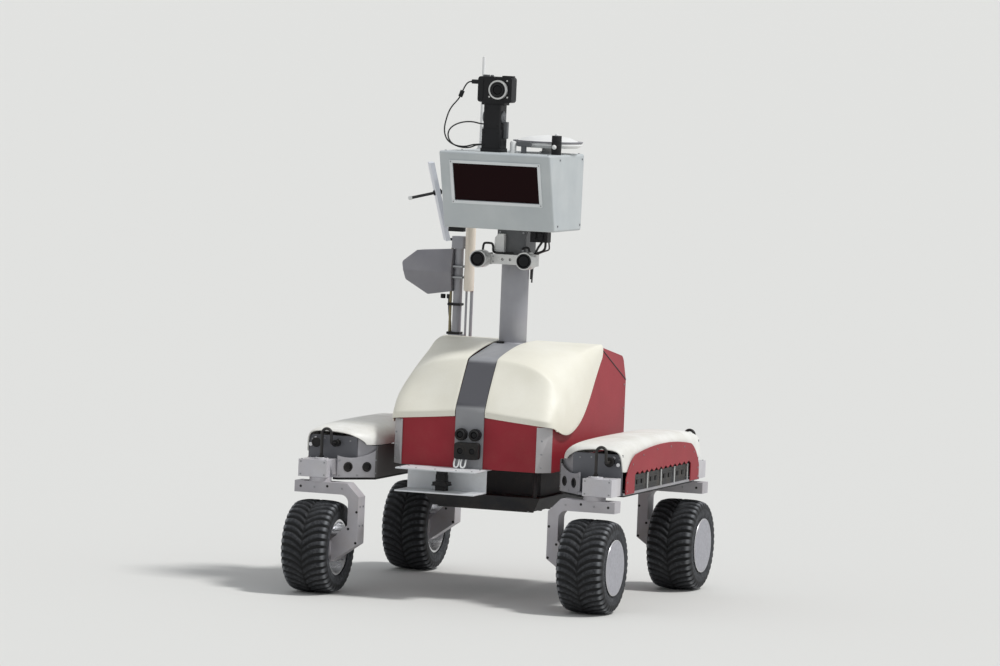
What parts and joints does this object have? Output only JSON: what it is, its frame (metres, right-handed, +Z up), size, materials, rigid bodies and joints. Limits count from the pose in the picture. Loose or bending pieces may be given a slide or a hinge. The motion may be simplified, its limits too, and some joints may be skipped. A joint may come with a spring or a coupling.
{
  "type": "planetary rover",
  "caption": "Electric scout rover on separately steered forks, with side pods, a cowled equipment hull and a sensor mast.",
  "frame": {"origin": "on the ground, midway between the four wheels", "axes": "+Z up, +X towards the rover's own left, the front faces -Y"},
  "size_m": [0.918, 1.024, 1.464],
  "materials": {
    "tyre": "matte moulded tread",
    "rim": "machined barrel, flat grey cover",
    "fork": "light grey satin paint",
    "pod_metal": "folded sheet, satin",
    "pod_white": "white moulded shell",
    "red_panel": "deep red satin paint",
    "battery": "black moulded case",
    "gearbox": "light grey satin paint",
    "black_plastic": "black moulded plastic",
    "cable": "black cable jacket",
    "corner_metal": "silver strip",
    "strip": "mid grey satin paint",
    "cream_shell": "cream moulded shell, satin",
    "underbody": "dark paint",
    "bracket_white": "white powder coat",
    "mast_grey": "grey satin paint",
    "block_grey": "dark grey anodised block",
    "camera_silver": "anodised",
    "lidar_paint": "pale blue-grey paint",
    "lidar_window": "dark maroon window",
    "white_plastic": "white moulded plastic",
    "pole_grey": "grey tube",
    "radio_grey": "grey moulded housing"
  },
  "bodies": {
    "chassis": {"pod_frames": "pod_metal", "battery_packs": "battery", "pod_cowls": "pod_white", "fenders": "red_panel", "steering_gearboxes": "gearbox", "steering_plugs": "black_plastic", "steering_cables": "cable", "hull": "red_panel", "corner_strips": "corner_metal", "rear_panel": "pod_metal", "centre_strip": "strip", "body_cowl_left": "cream_shell", "body_cowl_right": "cream_shell", "belly_pan": "underbody", "pivot_axles": "pod_metal", "nose_bracket": "bracket_white", "laser_scanner": "black_plastic", "hazard_cameras": "black_plastic", "range_sensor": "black_plastic", "mast": "mast_grey", "mast_block": "block_grey", "stereo_bar": "camera_silver", "stereo_cameras": "camera_silver", "lidar_case": "lidar_paint", "lidar_window": "lidar_window", "satellite_antenna": "white_plastic", "whip_antenna": "white_plastic", "beacon": "black_plastic", "pan_base": "black_plastic", "rear_pole": "pole_grey", "radio_housing": "radio_grey", "panel_antenna": "white_plastic"},
    "steer_front_left": {"fork_front_left": "fork"},
    "wheel_front_left": {"tyre_front_left": "tyre", "rim_front_left": "rim"},
    "steer_front_right": {"fork_front_right": "fork"},
    "wheel_front_right": {"tyre_front_right": "tyre", "rim_front_right": "rim"},
    "steer_rear_left": {"fork_rear_left": "fork"},
    "wheel_rear_left": {"tyre_rear_left": "tyre", "rim_rear_left": "rim"},
    "steer_rear_right": {"fork_rear_right": "fork"},
    "wheel_rear_right": {"tyre_rear_right": "tyre", "rim_rear_right": "rim"},
    "camera_pan": {"pan_head": "black_plastic", "camera_body": "black_plastic", "camera_lens": "camera_silver", "camera_plug": "black_plastic", "cable_bead": "black_plastic", "camera_cable": "cable", "unit_cable": "cable"}
  },
  "joints": [
    {"name": "steering_front_left", "type": "hinge", "parent": "chassis", "child": "steer_front_left", "pos_m": [0.393, -0.386, 0.3], "axis": [0, 0, 1], "range_deg": [-90, 90]},
    {"name": "drive_front_left", "type": "hinge", "parent": "steer_front_left", "child": "wheel_front_left", "pos_m": [0.393, -0.386, 0.126], "axis": [1, 0, 0], "continuous": true},
    {"name": "steering_front_right", "type": "hinge", "parent": "chassis", "child": "steer_front_right", "pos_m": [-0.393, -0.386, 0.3], "axis": [0, 0, 1], "range_deg": [-90, 90]},
    {"name": "drive_front_right", "type": "hinge", "parent": "steer_front_right", "child": "wheel_front_right", "pos_m": [-0.393, -0.386, 0.126], "axis": [1, 0, 0], "continuous": true},
    {"name": "steering_rear_left", "type": "hinge", "parent": "chassis", "child": "steer_rear_left", "pos_m": [0.393, 0.386, 0.3], "axis": [0, 0, 1], "range_deg": [-90, 90]},
    {"name": "drive_rear_left", "type": "hinge", "parent": "steer_rear_left", "child": "wheel_rear_left", "pos_m": [0.393, 0.386, 0.126], "axis": [1, 0, 0], "continuous": true},
    {"name": "steering_rear_right", "type": "hinge", "parent": "chassis", "child": "steer_rear_right", "pos_m": [-0.393, 0.386, 0.3], "axis": [0, 0, 1], "range_deg": [-90, 90]},
    {"name": "drive_rear_right", "type": "hinge", "parent": "steer_rear_right", "child": "wheel_rear_right", "pos_m": [-0.393, 0.386, 0.126], "axis": [1, 0, 0], "continuous": true},
    {"name": "pan", "type": "hinge", "parent": "chassis", "child": "camera_pan", "pos_m": [-0.036, -0.095, 1.219], "axis": [0, 0, 1], "range_deg": [-75, 75]}
  ]
}
